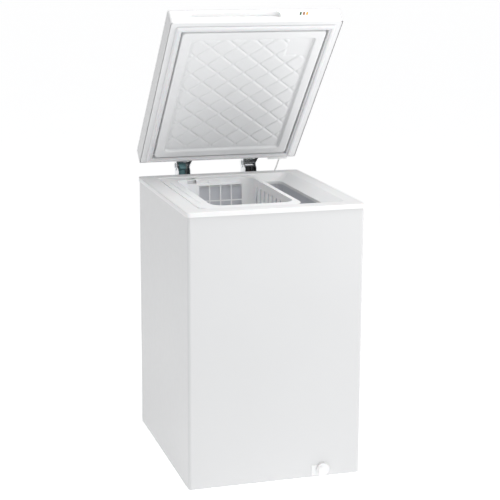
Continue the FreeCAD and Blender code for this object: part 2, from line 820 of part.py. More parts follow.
def make_drain_hose():
    """Rubber elbow from the tank floor to the back of the outlet."""
    outer = drain_channel(hose_radius, -half_d + hose_front)
    inner = drain_channel(spout_radius + 0.15, -half_d + hose_front - 1)
    roof = box(drain_x - 30, drain_x + 30, drain_y - 30, drain_y + 30, tank_floor - 12.2, tank_floor + 30)
    return outer.cut(inner).cut(roof)


def make_drain_bezel():
    """Fixed plate on the cabinet front: a square wing beside a round seat."""
    seat = rod(drain_radius + 2, (drain_x, bezel_face, drain_z), (drain_x, bezel_back, drain_z))
    wing = box(drain_x - bezel_wing, drain_x, bezel_face, bezel_back, drain_z - 18, drain_z + 14)
    wing = round_off(wing, 1.0, lambda e: e.BoundBox.YMax < bezel_face + 0.1)
    guide_end = hose_front - half_d - 0.5
    guide = rod(hose_radius, (drain_x, bezel_back, drain_z), (drain_x, guide_end, drain_z))
    bore = rod(spout_radius + pin_clearance, (drain_x, bezel_face - 9, drain_z), (drain_x, guide_end + 1,
                                                                                  drain_z))
    return seat.fuse(wing).fuse(guide).cut(bore).removeSplitter()


def make_drain_spout():
    """Outlet tube that pulls out of the front."""
    end = spout_reach - half_d
    barrel = rod(spout_radius, (drain_x, collar_face, drain_z), (drain_x, end, drain_z))
    collar = rod(drain_radius - 4, (drain_x, collar_face, drain_z), (drain_x, collar_face + collar_sheet,
                                                                     drain_z))
    bore = rod(spout_radius - spout_wall, (drain_x, collar_face - 9, drain_z), (drain_x, end + 1, drain_z))
    return collar.fuse(barrel).cut(bore)


def make_drain_dial():
    """Round cap with a raised grip, turned to point its outlet down."""
    disc = rod(drain_radius, (drain_x, dial_front, drain_z), (drain_x, dial_back, drain_z))
    disc = round_off(disc, 1.0, lambda e: e.BoundBox.YMax < dial_front + 0.1)
    grip = box(drain_x - 15, drain_x - 2, drain_front, dial_front + 1, drain_z - 10, drain_z + 9)
    grip = round_off(grip, 1.5, lambda e: e.BoundBox.YMax < drain_front + 0.1)
    stub = pipe(spout_radius - spout_wall - pin_clearance, spout_radius - 2 * spout_wall,
                (drain_x, dial_back - 1, drain_z), (drain_x, dial_back + stub_length, drain_z))
    return disc.fuse(grip).fuse(stub).removeSplitter()


# ---------------------------------------------------------------- basket
def basket_shell(inset, z_low, z_high):
    """The basket's tapered body, inset from its outer face."""
    wires = []
    for z in (z_low, z_high):
        lean = basket_taper * (basket_top - z) / basket_height
        shrink = inset + lean
        wires.append(round_rectangle(basket_body_x0 + shrink, basket_body_x1 - shrink,
                                     -basket_hy + shrink, basket_hy - shrink, z, basket_corner - shrink))
    return Part.makeLoft(wires, True, True)


def basket_windows():
    """Openings in the four walls and the floor."""
    reach = throat_hy + 20
    blind = basket_hy - basket_wall * 0.6
    cuts = []
    first = basket_body_x0 + window_start
    for column in range(window_columns):
        x0 = first + column * window_pitch + window_bar / 2
        x1 = x0 + window_pitch - window_bar
        cuts.append(box(x0 + 2, x1 - 2, -blind, blind, basket_top - hold_top - hold_height,
                        basket_top - hold_top))
        for row in range(window_rows):
            z = basket_top - window_top - row * (window_height + window_bar)
            cuts.append(box(x0, x1, -reach, reach, z - window_height, z))
    hold = basket_body_x0 + hold_start
    cuts.append(box(hold, hold + hold_width, 0, reach, basket_top - hold_top - hold_height,
                    basket_top - hold_top))
    cuts.append(box(hold, hold + hold_width, basket_hy + 1, basket_rest_y - 8, basket_top - 5,
                    basket_top + 1))
    slot_first = slot_end + basket_corner - throat_hy
    slot_pitch = -2 * slot_first / slot_count
    slot_width = slot_share * slot_pitch
    side_rows = ((window_top, 66), (window_top + 76, 66))
    floor_columns = int((basket_body_x1 - basket_body_x0 - 2 * basket_taper - 20) // window_pitch)
    floor_first = (basket_body_x0 + basket_body_x1 - floor_columns * window_pitch + window_bar) / 2
    for i in range(slot_count):
        y0 = slot_first + i * slot_pitch + (slot_pitch - slot_width) / 2
        for down, tall in side_rows:
            z = basket_top - down
            cuts.append(box(basket_body_x0 - 9, basket_body_x1 + 9, y0, y0 + slot_width, z - tall, z))
        for j in range(floor_columns):
            x0 = floor_first + j * window_pitch
            cuts.append(box(x0, x0 + window_pitch - window_bar, y0, y0 + slot_width,
                            basket_bottom - 5, basket_bottom + 8))
    return Part.Compound(cuts)


def make_basket():
    """Moulded hanging basket: its flange rests on the sloping rim at both ends and at the left."""
    body = basket_shell(0, basket_bottom, basket_top)
    inside = basket_shell(basket_wall, basket_bottom + basket_wall, basket_top + 1)
    rim = round_rectangle(basket_x0, basket_x1, -basket_rest_y, basket_rest_y, basket_top - basket_wall,
                          basket_corner)
    flange = Part.Face(rim).extrude(V(0, 0, basket_wall))
    bead_x = basket_body_x0 - basket_bead_from_wall
    bead_y = basket_hy - basket_corner
    bead = box(bead_x - basket_bead_width, bead_x, -bead_y, bead_y, basket_top - 1, basket_top + basket_bead)
    bead = round_off(bead, basket_bead * 0.7, lambda e: e.BoundBox.ZMin > basket_top + basket_bead - 0.01)
    return body.fuse(flange).fuse(bead).cut(inside).cut(basket_windows()).removeSplitter()


# ---------------------------------------------------------------- lid, drawn closed
def ring(x_out, y0_out, y1_out, x_in, y0_in, y1_in, z0, z1, radius):
    outside = block(x_out, y0_out, y1_out, z0, z1, radius)
    return outside.cut(block(x_in, y0_in, y1_in, z0 - 1, z1 + 1, max(radius - 1, 1)))


def make_lid_shell():
    """Painted pan: the top, both sides, the back and a short front return."""
    outside = block(lid_hx, lid_front, lid_rear, lid_bottom, lid_top, lid_corner)
    outside = round_off(outside, lid_edge_round, lambda e: e.BoundBox.ZMin > lid_top - 0.01)
    inside = block(lid_hx - lid_sheet, lid_front + lid_sheet, lid_rear - lid_sheet, lid_bottom - 1,
                   lid_top - lid_sheet, lid_corner - lid_sheet)
    face_hx = lid_hx - lid_front_return
    front = box(-face_hx, face_hx, lid_front - 1, lid_front + lid_sheet + 1, lid_bottom - 1,
                lid_top - lid_top_return)
    holes = [rod(screw_hole, (x, lid_rear - 9, z), (x, lid_rear + 9, z)) for x, z in arm_screw_places()]
    return outside.cut(inside).cut(front).cut(Part.Compound(holes))


def make_front_strip():
    """Front moulding with the finger scoop, deepest under its top lip, and the seat of the lamp panel."""
    inner = lid_hx - lid_sheet - fit - 5
    face_hx = lid_hx - lid_front_return - fit
    face_back = lid_front + lid_sheet + fit
    step = frame_top + fit
    face = box(-face_hx, face_hx, lid_front, face_back, strip_low, lid_top - lid_top_return - fit)
    foot = box(-inner, inner, face_back, lid_front + strip_foot, strip_low, step)
    body = box(-inner, inner, face_back, strip_back, step, lid_top - lid_sheet - fit)
    recess = box(grip_left, grip_right, lid_front - 5, lid_front + grip_depth, grip_low,
                 grip_low + grip_height)
    recess = round_off(recess, grip_round, lambda e: max(e.BoundBox.XLength, e.BoundBox.ZLength) < 0.01)
    high = grip_low + grip_height
    scoop = outline([(grip_left - 1, lid_front - 5, grip_low), (grip_left - 1, lid_front, grip_low),
                     (grip_left - 1, lid_front + grip_depth, high - grip_lip),
                     (grip_left - 1, lid_front + grip_depth, high + 1), (grip_left - 1, lid_front - 5,
                                                                         high + 1)],
                    (grip_right - grip_left + 2, 0, 0))
    recess = recess.common(scoop)
    seat = box(panel_left, panel_right, lid_front - 5, lid_front + 1.0, panel_low, panel_low + panel_height)
    cavity = box(panel_left + 8, panel_right - 20, lid_front, strip_back - 4, step + 2,
                 panel_low + panel_height - 6)
    return face.fuse(foot).fuse(body).cut(recess).cut(seat).cut(cavity).removeSplitter()


def lamp_place(index):
    return lamp_first + index * lamp_pitch


def lamp_shape(index, grow, y0, y1):
    """A small leaning window or its lens."""
    x = lamp_place(index)
    h = lamp_size + grow
    w = lamp_size * lamp_width_share + grow
    low, high = lamp_z - h, lamp_z + h
    return outline([(x - w - lamp_lean, y0, low), (x + w - lamp_lean, y0, low),
                    (x + w + lamp_lean, y0, high), (x - w + lamp_lean, y0, high)], (0, y1 - y0, 0))


def make_control_panel():
    """Smooth cover that stands a little proud of the strip."""
    y0 = lid_front - panel_proud
    cover = box(panel_left + side_gap, panel_right - side_gap, y0, y0 + panel_sheet - plate_gap,
                panel_low + side_gap, panel_low + panel_height - side_gap)
    cover = round_off(cover, 1.2, lambda e: e.BoundBox.YMax < y0 + 0.01)
    windows = [lamp_shape(i, 0.1, y0 - 1, y0 + 9) for i in range(3)]
    return cover.cut(Part.Compound(windows))


def make_lamp(index):
    y0 = lid_front - panel_proud
    return lamp_shape(index, 0, y0 + side_gap, y0 + panel_sheet + 2)


def make_indicator_board():
    """Circuit board with three light emitters and a plug socket."""
    y = lid_front - panel_proud + panel_sheet + 2.3
    x0 = panel_left + 12
    board = box(x0, x0 + 72, y + 3, y + 4.6, lamp_z - panel_height * 0.3, lamp_z + panel_height * 0.21)
    for i in range(3):
        board = board.fuse(rod(1.5, (lamp_place(i), y + 0.1, lamp_z), (lamp_place(i), y + 3, lamp_z)))
    return board.fuse(box(x0 + 50, x0 + 66, y + 4.6, y + 9, lamp_z - 9, lamp_z - 2))


def gasket_box(inset):
    """X half size, front and rear of a rectangle measured in from the seal's outer edge."""
    return (lid_hx - gasket_side_inset - inset, lid_front + gasket_front_inset + inset,
            lid_rear - gasket_rear_inset - inset)


def make_inner_frame():
    """Plastic frame that holds the seal and clamps the inner liner."""
    inner = lid_hx - lid_sheet - seam
    low_x, low_y0, low_y1 = gasket_box(gasket_width)
    frame = ring(inner, lid_front + strip_foot + fit, lid_rear - lid_sheet - seam, low_x, low_y0, low_y1,
                 lid_bottom, frame_top, 4.0)
    out_x, out_y0, out_y1 = gasket_box((gasket_width - gasket_dart) / 2)
    in_x, in_y0, in_y1 = gasket_box((gasket_width + gasket_dart) / 2)
    groove = ring(out_x, out_y0, out_y1, in_x, in_y0, in_y1, lid_bottom - 1, lid_bottom + 6.5, 4.0)
    return frame.cut(groove)


def make_gasket():
    """Magnetic seal: a flat bulb with a dart pressed into the frame."""
    x0, y0, y1 = gasket_box(0)
    x1, y2, y3 = gasket_box(gasket_width)
    bulb = ring(x0, y0, y1, x1, y2, y3, rim_top + 0.5, lid_bottom - 0.05, 6.0)
    out_x, out_y0, out_y1 = gasket_box((gasket_width - gasket_dart) / 2 + fit)
    in_x, in_y0, in_y1 = gasket_box((gasket_width + gasket_dart) / 2 - fit)
    return bulb.fuse(ring(out_x, out_y0, out_y1, in_x, in_y0, in_y1, lid_bottom - 0.05, lid_bottom + 6.0,
                          4.0))


def border_box(inset):
    """X half size, front and rear of a rectangle inside the inner liner's border."""
    x, y0, y1 = gasket_box(gasket_width + liner_groove + inset)
    return x, y0, y1


def make_lid_liner():
    """Formed sheet: flange, groove, raised border and a recessed field."""
    sheet = lid_liner_sheet
    top = liner_flange_z
    low = lid_bottom - liner_drop
    field = low + field_recess
    flange_x, flange_y0, flange_y1 = gasket_box(liner_overlap)
    edge_x, edge_y0, edge_y1 = border_box(0)
    field_x, field_y0, field_y1 = border_box(liner_border)
    outer = block(flange_x, flange_y0, flange_y1, top, top + sheet, 6.0)
    outer = outer.fuse(block(edge_x, edge_y0, edge_y1, low, top + sheet, 8.0))
    pocket = block(field_x, field_y0, field_y1, low - 1, field, 8.0)
    above = block(edge_x - sheet, edge_y0 + sheet, edge_y1 - sheet, low + sheet, top + sheet + 1, 6.5)
    bridge = block(field_x + sheet, field_y0 - sheet, field_y1 + sheet, low - 1, field + sheet, 9.5)
    return outer.cut(above.cut(bridge)).cut(pocket).removeSplitter()


def make_lid_foam():
    """Foam that fills the lid between its painted pan and its inner liner."""
    lining = lid_liner_sheet + side_gap
    floor = liner_flange_z + lining
    low = lid_bottom - liner_drop + lining
    edge_x, edge_y0, edge_y1 = border_box(lining)
    field_x, field_y0, field_y1 = border_box(liner_border - lining)
    inset = lid_sheet + fit
    body = block(lid_hx - inset, strip_back + fit, lid_rear - inset, floor, lid_top - inset, 4.0)
    plug = block(edge_x, edge_y0, edge_y1, low, floor + plate_gap, 6.0)
    pocket = block(field_x, field_y0, field_y1, low - 1, low + field_recess, 9.0)
    holes = [rod(screw_well, (x, lid_rear - 12, z), (x, lid_rear, z)) for x, z in arm_screw_places()]
    return body.fuse(plug).cut(pocket).cut(Part.Compound(holes)).removeSplitter()


# ---------------------------------------------------------------- hinges
def channel_screw_places():
    places = []
    for x in hinge_xs.values():
        for side in (-1, 1):
            for z in (channel_low + 20, rim_top - 40):
                places.append((x + side * (channel_half + channel_wing / 2), z))
    return places


def arm_screw_places():
    places = []
    for x in hinge_xs.values():
        for side in (-1, 1):
            for z in (lid_bottom + 14, lid_top - 14):
                places.append((x + side * (arm_wide + 14), z))
    return places


def make_hinge_channel(side):
    """Steel channel on the cabinet back, open to the front above the rim."""
    x = hinge_xs[side]
    front = half_d + plate_gap
    clear = half_d + 14.0
    high = pivot_z + 11
    neck = shell_top - 6
    shape = box(x - channel_half, x + channel_half, channel_rear - channel_sheet, channel_rear, channel_low,
                high)
    for sign in (-1, 1):
        inner, outer = sorted((x + sign * (channel_half - channel_sheet), x + sign * channel_half))
        cheek = outline([(inner, front, channel_low), (inner, channel_rear, channel_low),
                         (inner, channel_rear, high), (inner, pivot_y - 8, high + 1), (inner, clear,
                                                                                       rim_top + 8),
                         (inner, clear, neck), (inner, front, neck)], (outer - inner, 0, 0))
        near, far = sorted((x + sign * channel_half, x + sign * (channel_half + channel_wing)))
        wing = box(near, far, front, front + channel_sheet, channel_low, neck)
        shape = shape.fuse(cheek).fuse(wing)
    seat = box(x - channel_half + 1, x + channel_half - 1, pivot_y - 22, channel_rear - 1,
               spring_low - channel_sheet, spring_low)
    bore = rod(pin_radius + pin_clearance, (x - 40, pivot_y, pivot_z), (x + 40, pivot_y, pivot_z))
    holes = [rod(screw_hole, (sx, front - 1, z), (sx, front + 5, z)) for sx, z in channel_screw_places()]
    return shape.fuse(seat).cut(bore).cut(Part.Compound(holes)).removeSplitter()


def make_hinge_arm(side):
    """Flared bracket screwed to the back of the lid."""
    x = hinge_xs[side]
    low = lid_bottom + arm_above_lid
    sheet = channel_sheet
    shape = box(x - arm_wide, x + arm_wide, arm_wall, pivot_y - 7, arm_high - sheet, arm_high)
    for sign in (-1, 1):
        near, wide = x + sign * arm_near, x + sign * arm_wide
        cheek = outline([(near, pivot_y + arm_nose, low), (near + sign * sheet, pivot_y + arm_nose, low),
                         (near + sign * sheet, pivot_y - arm_nose, low), (wide + sign * sheet, arm_wall, low),
                         (wide, arm_wall, low), (near, pivot_y - arm_nose, low)], (0, 0, arm_high - low))
        rear = box(x - 60, x + 60, pivot_y - 7, pivot_y + 40, pivot_z + 10, arm_high + 1)
        foot_a, foot_b = sorted((wide, wide + sign * arm_foot))
        foot = box(foot_a, foot_b, arm_wall, arm_wall + sheet, low + 2, lid_top - 5)
        shape = shape.fuse(cheek.cut(rear)).fuse(foot)
    bore = rod(pin_radius + pin_clearance, (x - 40, pivot_y, pivot_z), (x + 40, pivot_y, pivot_z))
    holes = [rod(screw_hole, (sx, arm_wall - 1, z), (sx, arm_wall + 5, z)) for sx, z in arm_screw_places()]
    return shape.cut(bore).cut(Part.Compound(holes)).removeSplitter()


def make_hinge_lining(side):
    """Dark plastic channel that lines the arm's flare and its top plate."""
    x = hinge_xs[side]
    start = arm_wall + fit
    end = pivot_y - arm_nose
    slope = arm_flare / (end - arm_wall)
    high = arm_high - channel_sheet - fit
    low = lid_bottom + arm_above_lid + 1
    reach = arm_wide - fit
    cheek_end = arm_wall + (reach - arm_lining - channel_half - fit) / slope

    def half(y):
        return reach - (y - arm_wall) * slope

    shape = outline([(x - half(start), start, high - arm_lining), (x + half(start), start, high - arm_lining),
                     (x + half(end), end, high - arm_lining), (x - half(end), end, high - arm_lining)],
                    (0, 0, arm_lining))
    for sign in (-1, 1):
        corners = [(half(start), start), (half(cheek_end), cheek_end), (half(cheek_end) - arm_lining,
                                                                        cheek_end),
                   (half(start) - arm_lining, start)]
        cheek = outline([(x + sign * reach_x, y, low) for reach_x, y in corners], (0, 0, high - low))
        shape = shape.fuse(cheek)
    return shape.removeSplitter()


def make_hinge_pins():
    """Headed pins, each with a groove for its retaining clip."""
    pins = []
    half = arm_near + channel_sheet
    for x in hinge_xs.values():
        stem = rod(pin_radius, (x - half - 2.2, pivot_y, pivot_z), (x + half + 5, pivot_y, pivot_z))
        head = rod(pin_radius + 3, (x - half - 2.4, pivot_y, pivot_z), (x - half - 0.2, pivot_y, pivot_z))
        groove = pipe(pin_radius + 1, pin_radius - 1, (x + half + 1.5, pivot_y, pivot_z),
                      (x + half + 2.7, pivot_y, pivot_z))
        pins.append(stem.fuse(head).cut(groove))
    return Part.Compound(pins)


def make_hinge_clips():
    """Snap rings in the pins' grooves."""
    clips = []
    half = arm_near + channel_sheet
    for x in hinge_xs.values():
        start, end = x + half + 1.6, x + half + 2.6
        clip = pipe(pin_radius + 3, pin_radius - 0.9, (start, pivot_y, pivot_z), (end, pivot_y, pivot_z))
        mouth = box(start - 1, end + 1, pivot_y - 2, pivot_y + 2, pivot_z + 0.1, pivot_z + 10)
        clips.append(clip.cut(mouth))
    return Part.Compound(clips)


def make_hinge_cam(side):
    """Grooved lobe keyed to the pin that pushes the plunger down as the lid closes."""
    x = hinge_xs[side]
    half = cam_half[side]
    lobe_z = pivot_z - cam_throw
    hub = rod(cam_hub, (x - half, pivot_y, pivot_z), (x + half, pivot_y, pivot_z))
    lobe = rod(cam_lobe, (x - half, pivot_y, lobe_z), (x + half, pivot_y, lobe_z))
    lean = math.asin((cam_hub - cam_lobe) / cam_throw)
    dy, dz = math.cos(lean), -math.sin(lean)
    web = outline([(x - half, pivot_y - cam_hub * dy, pivot_z + cam_hub * dz),
                   (x - half, pivot_y + cam_hub * dy, pivot_z + cam_hub * dz),
                   (x - half, pivot_y + cam_lobe * dy, lobe_z + cam_lobe * dz),
                   (x - half, pivot_y - cam_lobe * dy, lobe_z + cam_lobe * dz)], (2 * half, 0, 0))
    bore = rod(pin_radius + pin_clearance, (x - 40, pivot_y, pivot_z), (x + 40, pivot_y, pivot_z))
    grooves = []
    for at in (x - half / 2, x + half / 2):
        grooves.append(pipe(cam_hub + 1, cam_hub - cam_groove, (at - cam_groove / 2, pivot_y, pivot_z),
                            (at + cam_groove / 2, pivot_y, pivot_z)))
    return hub.fuse(lobe).fuse(web).cut(bore).cut(Part.Compound(grooves)).removeSplitter()


def plunger_top():
    """Height of the plunger's face at rest, under the cam."""
    angle = math.radians(-90 - rest_angle)
    return pivot_z + cam_throw * math.sin(angle) - cam_lobe - plunger_gap


def make_plunger(side):
    """Capped cylinder that slides in the channel on top of its spring."""
    x = hinge_xs[side]
    top = plunger_top()
    low = top - plunger_length
    body = rod(plunger_radius, (x, plunger_y, low), (x, plunger_y, top))
    body = round_off(body, 2.5, lambda e: e.BoundBox.ZMin > top - 0.01)
    hollow = rod(plunger_radius - plunger_wall, (x, plunger_y, low - 1), (x, plunger_y, top - 6))
    return body.cut(hollow)


def make_spring(side):
    """Plain sleeve with the size of the compression spring."""
    x = hinge_xs[side]
    outer = plunger_radius - plunger_wall - 0.5
    return pipe(outer, outer - spring_wire, (x, plunger_y, spring_low + plate_gap),
                (x, plunger_y, plunger_top() - 6.1))


def make_channel_screws():
    y = half_d + plate_gap + channel_sheet + 0.05
    return Part.Compound([screw(x, y, z, 12.0) for x, z in channel_screw_places()])


def make_arm_screws():
    y = arm_wall + channel_sheet + 0.05
    return Part.Compound([screw(x, y, z) for x, z in arm_screw_places()])


# ---------------------------------------------------------------- lid cable
def make_cable_cover():
    """Shallow curved cover at the back of the lid where the cable comes out."""
    y0 = lid_rear + plate_gap
    z0 = lid_bottom + fit
    z1 = z0 + cover_height
    shell = box(cover_x0, cover_x1, y0, cover_face, z0, z1)
    shell = round_off(shell, 6.0, lambda e: e.BoundBox.YMin > cover_face - 0.1)
    hollow = box(cover_x0 + cover_wall, cover_x1 - cover_wall, y0 - 1, y0 + 8, z0 + cover_wall,
                 z1 - cover_wall)
    exit_hole = rod(cable_radius + 0.2, (cable_exit_x, y0, cable_exit_z), (cable_exit_x, y0 + 20,
                                                                           cable_exit_z))
    return shell.cut(hollow).cut(exit_hole)


def closed_to_rest(y, z):
    """A point on the lid, moved from closed to the stored position."""
    turn = math.radians(rest_angle)
    dy, dz = y - pivot_y, z - pivot_z
    return (pivot_y + dy * math.cos(turn) + dz * math.sin(turn),
            pivot_z - dy * math.sin(turn) + dz * math.cos(turn))


def cable_points():
    """The lid cable's corner points, from just behind its cover to the cabinet's gland."""
    start_y, start_z = closed_to_rest(cover_face + cable_start_gap, cable_exit_z)
    next_y, next_z = closed_to_rest(lid_rear + 32, cable_exit_z)
    over = cable_gland_x - cable_exit_x
    return [(cable_exit_x, start_y, start_z),
            (cable_exit_x, next_y, next_z),
            (cable_exit_x + over * 0.18, half_d + 44, rim_top + 2),
            (cable_exit_x + over * 0.61, half_d + 46, rim_top - 20),
            (cable_gland_x + 1, half_d + 30, cable_gland_z + 4),
            (cable_gland_x, half_d + 3, cable_gland_z)]


def make_cable():
    return tube(cable_points(), cable_radius)


def make_cable_gland():
    """Snap-in bush in the cabinet back that the lid cable goes into."""
    x, z = cable_gland_x, cable_gland_z
    flange = rod(8, (x, half_d + plate_gap, z), (x, half_d + 2.6, z))
    neck = rod(cable_radius + 3, (x, half_d - 12, z), (x, half_d + 1, z))
    bore = rod(cable_radius + 0.3, (x, half_d - 13, z), (x, half_d + 9, z))
    return flange.fuse(neck).cut(bore)


# ---------------------------------------------------------------- build
nodes["outer_shell"] = make_outer_shell()
nodes["back_panel"] = make_back_panel()
nodes["bottom_plate"] = make_bottom_plate()
nodes["feet"] = make_feet()
nodes["compressor_tray"] = make_compressor_tray()
nodes["machine_room_panel"] = make_room_panel()
nodes["insulation_foam"] = make_foam()
nodes["inner_liner"] = make_inner_liner()
nodes["tank_base"] = make_tank_base()
nodes["top_rim"] = make_top_rim()
nodes["evaporator_coil"] = make_evaporator()
nodes["condenser_coil"] = make_condenser()
nodes["compressor"] = make_compressor()
nodes["compressor_grommets"] = make_grommets()
nodes["compressor_bolts"] = make_compressor_bolts()
nodes["start_relay"] = make_start_relay()
nodes["filter_drier"] = make_filter_drier()
nodes["refrigerant_pipes"] = make_pipes()
nodes["rear_grille"] = make_rear_grille()
nodes["grille_screws"] = make_grille_screws()
nodes["thermostat"] = make_thermostat()
nodes["thermostat_dial"] = make_thermostat_dial()
nodes["mains_gland"] = make_mains_gland()
nodes["tank_drain"] = make_tank_drain()
nodes["drain_plug"] = make_drain_plug()
nodes["drain_hose"] = make_drain_hose()
nodes["drain_bezel"] = make_drain_bezel()
nodes["drain_spout"] = make_drain_spout()
nodes["drain_dial"] = make_drain_dial()
nodes["basket"] = make_basket()
nodes["cable_gland"] = make_cable_gland()
nodes["lid_cable"] = make_cable()
nodes["hinge_channel_screws"] = make_channel_screws()
for side in hinge_xs:
    nodes["hinge_channel_" + side] = make_hinge_channel(side)
    nodes["hinge_plunger_" + side] = make_plunger(side)
    nodes["hinge_spring_" + side] = make_spring(side)

lid_nodes = {
    "lid_outer_shell": make_lid_shell(),
    "lid_front_strip": make_front_strip(),
    "control_panel": make_control_panel(),
    "lamp_green": make_lamp(0),
    "lamp_amber": make_lamp(1),
    "lamp_orange": make_lamp(2),
    "indicator_board": make_indicator_board(),
    "lid_inner_frame": make_inner_frame(),
    "lid_gasket": make_gasket(),
    "lid_liner": make_lid_liner(),
    "lid_foam": make_lid_foam(),
    "hinge_pins": make_hinge_pins(),
    "hinge_clips": make_hinge_clips(),
    "hinge_arm_screws": make_arm_screws(),
    "cable_cover": make_cable_cover(),
}
for side in hinge_xs:
    lid_nodes["hinge_arm_" + side] = make_hinge_arm(side)
    lid_nodes["hinge_lining_" + side] = make_hinge_lining(side)
    lid_nodes["hinge_cam_" + side] = make_hinge_cam(side)
for name, shape in lid_nodes.items():
    nodes[name] = open_lid(shape)

for name, shape in nodes.items():
    placed = shape.copy()
    placed.translate(V(0, -origin_y, 0))
    placed.exportStep("parts/" + name + ".step")
    print(name, "solids", len(placed.Solids), "valid", placed.isValid(), "cm3", round(placed.Volume / 1000,
                                                                                      2))

cable_wire, cable_radii = bent_path(cable_points())
print("lid cable: length", round(cable_wire.Length, 1), "radii", [round(r, 1) for r in cable_radii],
      "volume ratio", round(nodes["lid_cable"].Volume / (math.pi * cable_radius ** 2 * cable_wire.Length), 4))
print("nodes", len(nodes))
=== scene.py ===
import json
import math

import bpy
import numpy as np
from mathutils import Matrix, Vector


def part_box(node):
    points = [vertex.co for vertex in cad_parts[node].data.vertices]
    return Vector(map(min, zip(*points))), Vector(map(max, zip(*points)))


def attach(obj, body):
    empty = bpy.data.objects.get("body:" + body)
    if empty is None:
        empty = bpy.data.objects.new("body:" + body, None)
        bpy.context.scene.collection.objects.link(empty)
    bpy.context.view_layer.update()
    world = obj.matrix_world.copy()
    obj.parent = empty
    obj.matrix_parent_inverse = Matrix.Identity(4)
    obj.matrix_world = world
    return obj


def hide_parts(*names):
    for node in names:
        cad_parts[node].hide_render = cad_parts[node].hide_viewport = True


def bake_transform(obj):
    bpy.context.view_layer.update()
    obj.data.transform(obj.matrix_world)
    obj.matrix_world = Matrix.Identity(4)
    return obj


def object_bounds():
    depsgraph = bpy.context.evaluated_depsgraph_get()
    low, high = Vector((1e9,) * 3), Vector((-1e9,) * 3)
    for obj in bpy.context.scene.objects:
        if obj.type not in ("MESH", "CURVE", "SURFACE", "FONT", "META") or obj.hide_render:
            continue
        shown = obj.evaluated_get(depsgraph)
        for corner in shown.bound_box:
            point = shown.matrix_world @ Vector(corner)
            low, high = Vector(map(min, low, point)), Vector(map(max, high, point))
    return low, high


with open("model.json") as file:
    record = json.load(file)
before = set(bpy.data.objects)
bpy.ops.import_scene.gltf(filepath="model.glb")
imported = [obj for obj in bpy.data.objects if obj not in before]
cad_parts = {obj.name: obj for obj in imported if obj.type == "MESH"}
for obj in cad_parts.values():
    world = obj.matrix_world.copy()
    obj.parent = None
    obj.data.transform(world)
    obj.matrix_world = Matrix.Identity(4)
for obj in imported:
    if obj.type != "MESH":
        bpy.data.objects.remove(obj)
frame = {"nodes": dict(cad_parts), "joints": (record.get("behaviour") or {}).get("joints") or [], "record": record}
cad_low, cad_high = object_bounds()
nodes = frame["nodes"]
MM = 0.001


# ---------------------------------------------------------------- camera
CAMERA_PLACE = (-1.206, -4.045, 1.581)
CAMERA_YAW = math.radians(16.65)
CAMERA_DIP = math.radians(11.80)
CAMERA_ROLL = math.radians(0.22)
CAMERA_LENS = 101.0
CAMERA_SHIFT = (0.010, -0.044)


def make_camera():
    ahead = Vector((math.sin(CAMERA_YAW) * math.cos(CAMERA_DIP),
                    math.cos(CAMERA_YAW) * math.cos(CAMERA_DIP), -math.sin(CAMERA_DIP)))
    level = Vector((math.cos(CAMERA_YAW), -math.sin(CAMERA_YAW), 0))
    upright = level.cross(ahead)
    right = level * math.cos(CAMERA_ROLL) + upright * math.sin(CAMERA_ROLL)
    top = upright * math.cos(CAMERA_ROLL) - level * math.sin(CAMERA_ROLL)
    data = bpy.data.cameras.new("camera")
    data.lens = CAMERA_LENS
    data.sensor_width = 36
    data.shift_x, data.shift_y = CAMERA_SHIFT
    data.clip_end = 200
    camera = bpy.data.objects.new("camera", data)
    camera.matrix_world = (Matrix.Translation(CAMERA_PLACE)
                           @ Matrix((right, top, -ahead)).transposed().to_4x4())
    bpy.context.scene.collection.objects.link(camera)
    bpy.context.scene.camera = camera


make_camera()


# ---------------------------------------------------------------- mesh helpers
def add_mesh(name, points, faces, smooth=True):
    mesh = bpy.data.meshes.new(name)
    mesh.from_pydata([tuple(p) for p in points], [], faces)
    mesh.polygons.foreach_set("use_smooth", [smooth] * len(faces))
    mesh.update()
    piece = bpy.data.objects.new(name, mesh)
    bpy.context.scene.collection.objects.link(piece)
    return piece


def loop_faces(rows, count, first=0, closed_rows=False):
    """Quads between consecutive closed loops of count points each."""
    faces = []
    last = rows if closed_rows else rows - 1
    for row in range(last):
        here, after = first + row * count, first + ((row + 1) % rows) * count
        for i in range(count):
            j = (i + 1) % count
            faces.append((here + i, here + j, after + j, after + i))
    return faces


def sweep_tube(name, path, radius, sides):
    """A closed round tube along a list of points, with flat ends."""
    path = [Vector(p) for p in path]
    along = [(path[min(i + 1, len(path) - 1)] - path[max(i - 1, 0)]).normalized() for i in range(len(path))]
    side = along[0].orthogonal().normalized()
    points = []
    for centre, direction in zip(path, along):
        side = (side - direction * side.dot(direction)).normalized()
        other = direction.cross(side)
        for i in range(sides):
            turn = 2 * math.pi * i / sides
            points.append(centre + (side * math.cos(turn) + other * math.sin(turn)) * radius)
    faces = loop_faces(len(path), sides)
    faces.append(tuple(reversed(range(sides))))
    faces.append(tuple(range((len(path) - 1) * sides, len(path) * sides)))
    return add_mesh(name, points, faces)


# ---------------------------------------------------------------- the lid's closed place
lid_joint = next(joint for joint in frame["joints"] if joint["name"] == "lid_hinge")
PIVOT = Vector(lid_joint["pos_m"])
LID_ANGLE = math.radians(-lid_joint["range_deg"][0])
LID_TO_REST = (Matrix.Translation(PIVOT) @ Matrix.Rotation(-LID_ANGLE, 4, "X")
               @ Matrix.Translation(-PIVOT))


def closed_box(node):
    """Lowest and highest corner of a lid node with the lid shut."""
    shut = LID_TO_REST.inverted()
    places = np.array([shut @ v.co for v in nodes[node].data.vertices])
    return Vector(places.min(0)), Vector(places.max(0))


# ---------------------------------------------------------------- lid cable
CABLE_ROUTE = [(0.214, 0.30715, 0.86519), (0.214, 0.32215, 0.84910), (0.209, 0.32763, 0.827),
               (0.197, 0.32963, 0.805), (0.187, 0.31363, 0.784), (0.186, 0.28663, 0.780)]
CABLE_DIAMETER = 0.005
CABLE_SIDES = 14


